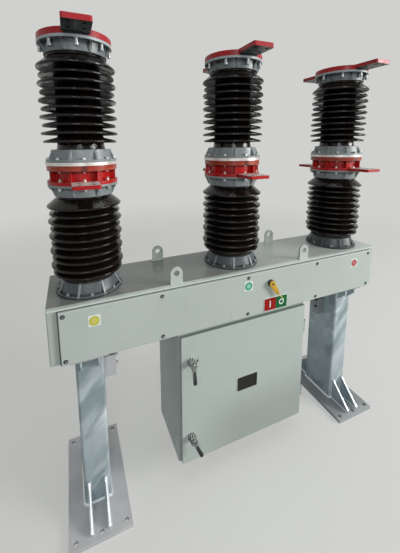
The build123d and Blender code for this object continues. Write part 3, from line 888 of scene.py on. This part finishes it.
screwPlaces = {"columns": (-0.810, -0.426, 0.0, 0.426, 0.810), "fromEdge": 0.017, "turn": 0.4}
screwRows = (coverLow.z + screwPlaces["fromEdge"], coverHigh.z - screwPlaces["fromEdge"])
spots = [at(x, coverLow.y, z, screwPlaces["turn"] * k, "front")
         for k, x in enumerate(screwPlaces["columns"]) for z in screwRows]
screwRing = joined(disc(8.6, 1.2), raised(disc(6.6, 2.2, 18, 0.8), 0.8))
screwHead = raised(disc(4.2, 1.6, 16, 0.5), 2.6)
putPiece("cover_screws", "plated_steel", (screwRing, "darkSteel", *spots), (screwHead, "dullZinc", *spots))

labelShape = {"width": 46 * mm, "corner": 2 * mm, "disc": 20.0, "middle": 11.0, "height": 0.933}
labelPlate = slab(labelShape["width"], labelShape["width"], labelShape["corner"],
                  [(0.3 * mm, 0.0), (0.0, 0.3 * mm), (0.0, 0.7 * mm), (0.3 * mm, 1 * mm)])
labelDisc = raised(disc(labelShape["disc"], 0.5, 36, 0.1), 0.9)
labelMiddle = raised(disc(labelShape["middle"], 0.4, 30, 0.1), 1.3)
for (side, x), ink in zip(polePlaces, ("Yellow", "Green", "Red")):
    spot = at(x, coverLow.y, labelShape["height"], 0, "front")
    putPiece(f"{side}_phase_label", "box_paint", (labelPlate, "plateWhite", spot),
             (labelDisc, f"label{ink}", spot), (labelMiddle, f"pale{ink}", spot))

# two painted fields with a bar and a ring as generic marks, in millimetres
fieldShape = {"between": 0.4, "side": 3.1, "edge": 3.0, "corner": 0.5, "height": 0.35, "markHeight": 0.75,
              "bar": (6.0, 34.0, 1.2), "ring": (9.5, 15.0)}
plateLow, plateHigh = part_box("indicator_plate")
plateMiddle = (plateLow + plateHigh) / 2
fieldWide = ((plateHigh.x - plateLow.x) / mm - fieldShape["between"] - fieldShape["side"]) / 2
fieldTall = (plateHigh.z - plateLow.z) / mm - fieldShape["edge"]
fieldAside = (fieldWide + fieldShape["between"]) / 2 * mm
leftField, rightField = (at(x, plateLow.y, plateMiddle.z, 0, "front")
                         for x in (plateMiddle.x - fieldAside, plateMiddle.x + fieldAside))
field = inMetres(slab(fieldWide, fieldTall, fieldShape["corner"], [(0.0, 0.0), (0.0, fieldShape["height"])]))
markBar = inMetres(slab(*fieldShape["bar"], [(0.0, 0.0), (0.0, fieldShape["markHeight"])]))
innerRing, outerRing = fieldShape["ring"]
markRing = inMetres(turned([(innerRing, 0.0), (outerRing, 0.0), (outerRing, fieldShape["markHeight"]),
                            (innerRing, fieldShape["markHeight"])], 32, looped=True))
putPiece("indicator_fields", "plate_red", (field, "plateRed", leftField), (field, "plateGreen", rightField),
         (joined(placed(markBar, leftField), placed(markRing, rightField)), "plateWhite"))

# the pointer's tail is a flat wire from its arm's end, bent aside; x, y and size along it, in millimetres
pointerShape = {"pivot": (0.127, 0.927), "lean": 32.0, "wire": (0.9, 2.0),
                "tail": ((0, -62, 1.0), (2.0, -78, 1.0), (6.0, -96, 0.9), (11.0, -114, 0.7))}
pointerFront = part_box("pointer")[0].y
pivotX, pivotZ = pointerShape["pivot"]
pivotScrew = joined(disc(5.5, 1.2, 18), raised(disc(3.6, 2.4, 14), 0.6))
putPiece("pointer_screw", "plated_steel",
         (pivotScrew, "darkSteel", at(pivotX, pointerFront, pivotZ, 0, "front")), body="pointer")
tailRows = np.array(pointerShape["tail"], float)
wireRing = np.array([(-1, 1), (-1, -1), (1, -1), (1, 1)]) * np.array(pointerShape["wire"])
tail = inMetres(swept(tailRows * np.array([1, 1, 0]), wireRing, (0, 0, 1), tailRows[:, 2]))
tailPlace = at(pivotX, pointerFront - 0.3 * mm, pivotZ, math.radians(pointerShape["lean"]), "front")
# the tail takes the pale label yellow, a painted highlight along the wire
putPiece("pointer_tail", "pointer_yellow", (tail, "paleYellow", tailPlace), body="pointer")
print("beam details made")


# weld beads in millimetres: a round carried along a line, its radius wavering, thick at its ends

beadShape = {"waver": 0.16, "blob": 0.55, "blobLength": 1.6}
beadRound = np.stack([np.cos(np.arange(8) * math.pi / 4), np.sin(np.arange(8) * math.pi / 4)], -1)


def evenly(points, count, looped=False):
    # a line's points spaced evenly along its length
    points = np.array(points, float)
    if looped:
        points = np.vstack([points, points[:1]])
    run = np.concatenate([[0], np.cumsum(np.linalg.norm(np.diff(points, axis=0), axis=1))])
    spots = np.linspace(0, run[-1], count, endpoint=not looped)
    return np.stack([np.interp(spots, run, points[:, k]) for k in range(points.shape[1])], -1)


def bead(points, radius, side, seed, count=28, looped=False, ring=beadRound, waist=None):
    # radius r (1 + waver noise + blob e^(-distance from an end / blob length)); with a waist, r times the
    # waist's own run times 0.6 + 0.4 (1 + waver noise)
    draw = np.random.default_rng(seed)
    reach = 1 + beadShape["waver"] * draw.uniform(-1, 1, count)
    if waist is not None:
        reach = (0.6 + 0.4 * reach) * np.interp(np.linspace(0, 1, count), *waist)
    elif not looped:
        fromEnd = np.minimum(np.arange(count), np.arange(count)[::-1])
        reach = reach + beadShape["blob"] * np.exp(-fromEnd / beadShape["blobLength"])
    return inMetres(swept(evenly(points, count, looped), ring * radius, side, reach, looped))


def beadLoop(outline, z, radius, seed, count, steps=2):
    # a bead round a rounded rectangle of width, depth and corner at a height
    line = roundedOutline(*outline, steps)[0]
    return bead(np.column_stack([line, np.full(len(line), z)]), radius, (0, 0, 1), seed, count, True)


# posts: outline, height, radius and seed of the beads round them; gussets on a post at x = 0, at its front
postWelds = (((117, 205, 13), 17.5, 6.6, 7), ((116, 204, 13), 752.5, 3.0, 17))
gussetWelds = {
    "aside": 0.035, "half": 6.2, "radius": 3.4, "upright": 0.8, "ridge": 5.9, "headRidge": 0.72,
    "edge": [(0, -102, 134.5), (0, -111, 134), (0, -220, 26.5), (0, -221, 18)],
    "headEdge": [(0, -146, 752), (0, -146, 729), (0, -103, 685)],
    "along": (-106, -218, 17.2), "up": (-102, 22, 130),
    "waistAt": [0, 0.05, 0.11, 0.18, 0.45, 0.58, 0.88, 0.95, 1],
    "waist": [0.6, 1.05, 1.0, 0.62, 0.62, 0.9, 0.95, 1.22, 0.8],
}
ridgeRing = beadRound * np.array([1.0, 0.6])


def gussetBeads(seed, welds):
    # one foot gusset: its sloping edge, its foot and its joint with the post
    waist = (welds["waistAt"], welds["waist"])
    shapes = [bead(welds["edge"], welds["ridge"], (1, 0, 0), seed, 40, ring=ridgeRing, waist=waist)]
    start, end, level = welds["along"]
    back, low, high = welds["up"]
    thick, thin = welds["radius"], welds["radius"] * welds["upright"]
    for k, x in enumerate((-welds["half"], welds["half"])):
        shapes.append(bead([(x, start, level), (x, end, level)], thick, (1, 0, 0), seed + 1 + k, 30))
        shapes.append(bead([(x, back, low), (x, back, high)], thin, (1, 0, 0), seed + 3 + k, 26))
    return joined(*shapes)


def headGussetBead(seed, welds):
    # one head gusset: its front edge and its slope
    return bead(welds["headEdge"], welds["ridge"] * welds["headRidge"], (1, 0, 0), seed, 18, ring=ridgeRing)


footBeads, headBeads, postBeads = [], [], []
for number, postX in enumerate(postPlaces):
    for aside, asideSeed in ((-gussetWelds["aside"], 4), (gussetWelds["aside"], 75)):
        for turn, turnSeed in ((0.0, 0), (math.pi, 31)):
            seed = 100 * number + turnSeed + asideSeed
            spot = at(postX + aside, 0, 0, turn)
            footBeads.append(placed(gussetBeads(seed, gussetWelds), spot))
            headBeads.append(placed(headGussetBead(seed + 50, gussetWelds), spot))
    for outline, z, radius, seed in postWelds:
        postBeads.append(placed(beadLoop(outline, z, radius, seed + number, 150, 4), at(postX, 0, 0)))
putPiece("foot_gusset_welds", "post_steel", (joined(*footBeads), "weldZinc"))
# painted shade: the left post's head gusset beads take a darker, duller copy of the weld finish
putPiece("head_gusset_welds", "post_steel", (joined(*headBeads[:4]), "dullWeld"),
         (joined(*headBeads[4:]), "weldZinc"))
putPiece("post_welds", "post_steel", (joined(*postBeads), "weldZinc"))

lugWeld = {"outline": (58, 12, 2), "radius": 2.8, "lift": 0.6, "x": 0.353, "y": 0.145}
lugBead = beadLoop(lugWeld["outline"], beamTop / mm + lugWeld["lift"], lugWeld["radius"], 31, 60)
lugPlaces = [at(x * lugWeld["x"], y * lugWeld["y"], 0) for x in (-1, 1) for y in (-1, 1)]
putPiece("lug_welds", "box_paint", (lugBead, "boxPaint", *lugPlaces))

# the short square tubes on the posts: a rim below, and two bolts through each post's wall
bracketShape = {"outline": (55, 35, 3), "rim": 1.6, "half": 0.028, "boltY": -0.010, "boltZ": (0.645, 0.604)}
bracketLow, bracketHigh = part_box("side_brackets")
bracketX = bracketHigh.x - bracketShape["half"]
rimBead = beadLoop(bracketShape["outline"], bracketLow.z / mm + 1.0, bracketShape["rim"], 41, 70)
putPiece("bracket_rims", "post_steel", (rimBead, "weldZinc", at(-bracketX, 0, 0), at(bracketX, 0, 0)))
bracketBolt = joined(disc(8.0, 1.4), raised(hexBlock(13, 7.0), 1.2), raised(thread(4.6, 4.0), 8.0))
webX = bracketX - bracketShape["half"]
# painted shade: the right post's bracket bolts are dark steel, the left post's same bolts bright zinc
for side, x, face, finish in (("left", -webX, "right", "boltZinc"), ("right", webX, "left", "darkSteel")):
    spots = [at(x, bracketShape["boltY"], z, 0.2, face) for z in bracketShape["boltZ"]]
    putPiece(f"{side}_bracket_bolts", "plated_steel", (bracketBolt, finish, *spots))
print("welds made")


# cabinet: the door's seal, a dark strip of painted shade round the cover, and the window's frame, each a flat
# bar round an opening, in millimetres

sealShape = {
    "door": {"inset": 7.0, "corner": 8, "half": (5.5, 2.1)},
    "cover": {"inset": -2.2, "corner": 3, "half": (2.2, 2.6)},
    "window": {"outline": (117, 78, 9), "half": (1.5, 0.9), "back": 0.4},
}


def frameLoop(outline, half):
    # a bar of half its width and thickness carried round a rounded rectangle in the local xy plane
    line = roundedOutline(*outline, 4)[0]
    quarter = np.array([(1, 0.86), (0.8, 1), (-0.8, 1), (-1, 0.86)])
    flat = np.vstack([quarter, -quarter])
    path = np.column_stack([line, np.zeros(len(line))])
    return inMetres(swept(path, flat * np.array(half[::-1]), (0, 0, 1), 1.0, True))


def sealRound(name, low, high, y, finish, shape):
    # a flat bar round what fills the box from low to high, its middle at depth y: a seal, or a strip of
    # painted shade
    wide, tall = ((high[k] - low[k]) / mm - 2 * shape["inset"] for k in (0, 2))
    loop = frameLoop((wide, tall, shape["corner"]), shape["half"])
    putPiece(name, "black_grip", (loop, finish, at(0, y, (low.z + high.z) / 2, 0, "front")))


cabinetLow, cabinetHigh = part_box("cabinet_shell")
sealRound("door_seal", cabinetLow, cabinetHigh, cabinetLow.y - 2.1 * mm, "sealGrey", sealShape["door"])
# painted shade: a dark strip behind the cover's edge, in the gap round it
sealRound("cover_shade_strip", coverLow, coverHigh, coverHigh.y - 2.6 * mm, "shadeGrey", sealShape["cover"])
windowLow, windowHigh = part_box("door_window")
windowX, windowZ = (windowLow.x + windowHigh.x) / 2, (windowLow.z + windowHigh.z) / 2
windowPlace = at(windowX, doorFront - sealShape["window"]["back"] * mm, windowZ, 0, "front")
windowLoop = frameLoop(sealShape["window"]["outline"], sealShape["window"]["half"])
putPiece("window_frame", "box_paint", (windowLoop, "frameGrey", windowPlace), body="door")

# handles: twisted ribs on the barrels, and grips on the leaning levers
handleShape = {
    "barrel": 17 * mm, "ribs": 9, "ribRadius": 17.1, "ribStart": 1.8, "ribLength": 25.8, "rib": (2.5, 0.9),
    "twist": 0.95, "leverFrom": 30.3 * mm, "leverBack": 7.5, "lean": 0.1795,
    "swing": {"upper": 0.0, "lower": 25.0},
    # the grip's half width and thickness, and its share of them at distances down the lever
    "grip": (5.8, 9.0), "down": (15, 20, 30, 44, 60, 72, 77, 79.5),
    "fullness": (0.62, 0.86, 0.98, 0.96, 1.0, 1.02, 0.86, 0.45),
}
barrelLow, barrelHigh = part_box("handle_barrels")
barrelX = (barrelLow.x + barrelHigh.x) / 2
barrelLevels = {"lower": barrelLow.z + handleShape["barrel"], "upper": barrelHigh.z - handleShape["barrel"]}
share = np.linspace(0, 1, 12)
ribs = []
for k in range(handleShape["ribs"]):
    angle = k * 2 * math.pi / handleShape["ribs"] + handleShape["twist"] * share
    line = np.stack([handleShape["ribRadius"] * np.cos(angle), handleShape["ribRadius"] * np.sin(angle),
                     handleShape["ribStart"] + handleShape["ribLength"] * share], -1)
    ribs.append(swept(line, beadRound * np.array(handleShape["rib"]), (0, 0, 1)))
barrelPlaces = [at(barrelX, doorFront, z, 0.3, "front") for z in barrelLevels.values()]
putPiece("barrel_ribs", "black_grip", (inMetres(joined(*ribs)), "blackGrip", *barrelPlaces), body="door")

far = np.array(handleShape["down"])
gripPath = np.stack([0 * far, -far, handleShape["leverBack"] + handleShape["lean"] * far], -1)
oval = np.stack([np.cos(np.arange(14) * math.pi / 7), np.sin(np.arange(14) * math.pi / 7)], -1)
grip = inMetres(swept(gripPath, oval * np.array(handleShape["grip"]), (0, 0, 1), handleShape["fullness"]))
leverY = doorFront - handleShape["leverFrom"]
for handle, swing in handleShape["swing"].items():
    spot = at(barrelX, leverY, barrelLevels[handle], math.radians(swing), "front")
    putPiece(f"{handle}_grip", "black_grip", (grip, "blackGrip", spot), body=f"{handle}_handle")

hingeShape = {"pinInset": 0.007, "apart": 0.382}
hingeLow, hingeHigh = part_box("door_hinges")
pinHead = joined(disc(6.2, 2.6, 16, 0.6), raised(disc(4.2, 1.6, 16, 0.5), 2.2))
pinPlaces = [at(hingeHigh.x - hingeShape["pinInset"], (hingeLow.y + hingeHigh.y) / 2, z)
             for z in (hingeHigh.z, hingeHigh.z - hingeShape["apart"])]
putPiece("hinge_pin_heads", "plated_steel", (pinHead, "darkSteel", *pinPlaces), body="door")
print("cabinet details made")


# camera, floor, light

cameraPlace = {
    "location": (-0.74803, -1.2725, 1.6018), "yaw": -22.27, "pitch": 8.69, "roll": -0.44,
    "lens": 19.008, "shiftX": 0.0183, "shiftY": -0.1583,
}


def makeCamera(place):
    # looks along (-sin yaw cos pitch, cos yaw cos pitch, -sin pitch), then rolls about that line
    yaw, pitch, roll = (math.radians(place[k]) for k in ("yaw", "pitch", "roll"))
    ahead = Vector((-math.sin(yaw) * math.cos(pitch), math.cos(yaw) * math.cos(pitch), -math.sin(pitch)))
    right = Vector((math.cos(yaw), math.sin(yaw), 0.0))
    up = right.cross(ahead)
    rolledRight = right * math.cos(roll) + up * math.sin(roll)
    rolledUp = up * math.cos(roll) - right * math.sin(roll)
    data = bpy.data.cameras.new("photoCamera")
    data.lens, data.sensor_width = place["lens"], 36.0
    data.shift_x, data.shift_y = place["shiftX"], place["shiftY"]
    data.clip_start, data.clip_end = 0.05, 60.0
    camera = bpy.data.objects.new("photoCamera", data)
    turn = Matrix((rolledRight, rolledUp, -ahead)).transposed().to_4x4()
    camera.matrix_world = Matrix.Translation(place["location"]) @ turn
    scene.collection.objects.link(camera)
    scene.camera = camera


def seenDirectly(tree):
    # 1 for rays from the camera, and for those that glossy metal or glass sends on
    ray = put(tree, "LightPath")
    mirrored = calculate(tree, "MAXIMUM", ray["Is Glossy Ray"], ray["Is Transmission Ray"])
    return calculate(tree, "MAXIMUM", ray["Is Camera Ray"], mirrored)


backdropTone = tone(208, 209, 206)
floorShape = {"size": 40.0, "cells": 8, "glow": 0.52, "fadeFrom": 2.4, "fadeTo": 7.0,
              "tones": (tone(236, 236, 233), tone(226, 226, 222)), "bounce": tone(128, 128, 125)}


def makeFloor(settings):
    # a wide plain floor: it bounces a mid tone, looks pale, keeps the shadow and fades out far off
    tree = emptyTree(bpy.data.materials.new("paleFloor"))
    where = put(tree, "TexCoord")["Object"]
    clouds = noise(tree, where, 1.6, 5.0)["Fac"]
    light, dark = settings["tones"]
    shades = put(tree, "Mix", {0: clouds, 6: light, 7: dark}, data_type="RGBA")[2]
    lit = put(tree, "BsdfDiffuse", {"Color": shades})[0]
    glow = put(tree, "Emission", {"Color": backdropTone, "Strength": 1.0})[0]
    away = put(tree, "VectorMath", {0: where}, operation="LENGTH")["Value"]
    faded = rising(tree, away, settings["fadeFrom"], settings["fadeTo"])
    bounce = put(tree, "BsdfDiffuse", {"Color": settings["bounce"]})[0]

    def blended(share, first, second):
        return put(tree, "MixShader", {0: share, 1: first, 2: second})[0]

    pale = blended(faded, blended(settings["glow"], lit, glow), glow)
    put(tree, "OutputMaterial", {0: blended(seenDirectly(tree), bounce, pale)})

    rows = settings["cells"] + 1
    line = np.linspace(-settings["size"], settings["size"], rows)
    points = np.stack([*np.meshgrid(line, line), np.zeros((rows, rows))], -1).reshape(-1, 3)
    faces = gridFaces(rows, rows).reshape(-1, rows, 4)[:, :-1].reshape(-1, 4)
    putMesh("floor", [((points, faces), "paleFloor")])


# place, point aimed at, width and depth, power, colour
lamps = {
    "window": ((6.0, -3.9, 2.9), (0.0, 0.0, 1.1), (3.0, 2.4), 415.0, (1.0, 0.99, 0.975)),
    "fill": ((-1.6, -4.6, 2.6), (-0.3, 0.0, 1.2), (1.0, 1.6), 44.0, (0.96, 0.98, 1.0)),
    "above": ((0.6, -0.4, 5.2), (0.0, 0.0, 0.0), (3.2, 1.6), 34.0, (1.0, 1.0, 1.0)),
}


def makeLamp(name, place, target, size, power, colour):
    data = bpy.data.lights.new(name, "AREA")
    data.shape = "RECTANGLE"
    data.size, data.size_y = size
    data.energy = power
    data.color = colour
    light = bpy.data.objects.new(name, data)
    turn = (Vector(target) - Vector(place)).to_track_quat("-Z", "Y").to_matrix().to_4x4()
    light.matrix_world = Matrix.Translation(place) @ turn
    scene.collection.objects.link(light)


surroundShape = {"colour": (0.93, 0.97, 1.0, 1.0), "left": 0.20, "right": 0.46}


def makeWorld(settings):
    # soft surround light, stronger from the right; the camera, metal and glass see a pale backdrop
    world = bpy.data.worlds.new("studio")
    tree = emptyTree(world)
    where = put(tree, "TexCoord")["Generated"]
    parts = put(tree, "SeparateXYZ", {0: where})
    strength = put(tree, "MapRange", {"Value": parts[0], "From Min": -1.0, "From Max": 1.0,
                                      "To Min": settings["left"], "To Max": settings["right"]})
    surround = put(tree, "Background", {"Color": settings["colour"], "Strength": strength[0]})[0]
    backdrop = put(tree, "Background", {"Color": backdropTone, "Strength": 1.0})[0]
    seen = put(tree, "MixShader", {0: seenDirectly(tree), 1: surround, 2: backdrop})
    put(tree, "OutputWorld", {0: seen[0]})
    scene.world = world


makeCamera(cameraPlace)
makeFloor(floorShape)
for name, lamp in lamps.items():
    makeLamp(name, *lamp)
makeWorld(surroundShape)
scene.view_settings.view_transform = "Standard"
print("camera, floor and light made")
